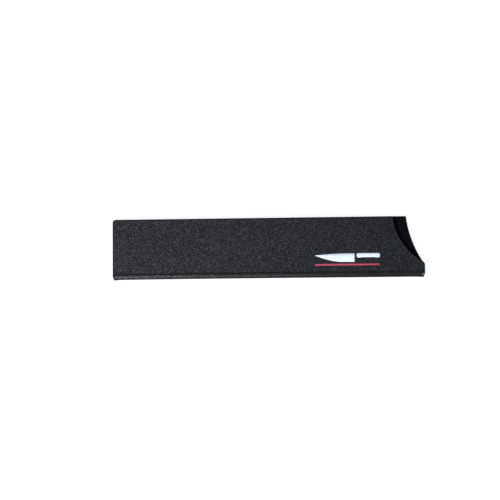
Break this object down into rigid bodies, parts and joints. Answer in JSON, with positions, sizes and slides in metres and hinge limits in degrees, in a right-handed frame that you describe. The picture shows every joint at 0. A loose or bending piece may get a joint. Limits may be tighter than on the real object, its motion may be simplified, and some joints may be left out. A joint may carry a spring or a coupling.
{
  "type": "knife blade guard",
  "caption": "Folded plastic edge guard for a kitchen knife, flock lined, open along its top and ends, with a rolled fold bead and curved finger notches at the mouth.",
  "frame": {"origin": "under the middle of the sheath's length and depth, on the surface that it lies on", "axes": "+X along the length, out of the mouth where the knife's handle comes out; +Y from the fold bead to the open long edge; +Z out of the front wall"},
  "size_m": [0.263, 0.0508, 0.006],
  "materials": {
    "grained_plastic": "fine sand grain, satin",
    "flock": "short black flock",
    "white_ink": "screen printed ink",
    "red_ink": "screen printed ink"
  },
  "bodies": {
    "back": {"back_wall": "grained_plastic", "back_neck": "grained_plastic", "fold_bead_back": "grained_plastic", "fold_bead_edge": "grained_plastic", "fold_bead_front": "grained_plastic", "back_lining": "flock", "fold_lining": "flock"},
    "front": {"front_wall": "grained_plastic", "front_neck": "grained_plastic", "front_lining": "flock"}
  },
  "joints": [
    {"name": "fold_flex", "type": "hinge", "parent": "back", "child": "front", "pos_m": [0, -0.0224, 0.003], "axis": [1, 0, 0], "range_deg": [0, 12], "stiffness_Nm_per_rad": 2.5}
  ]
}
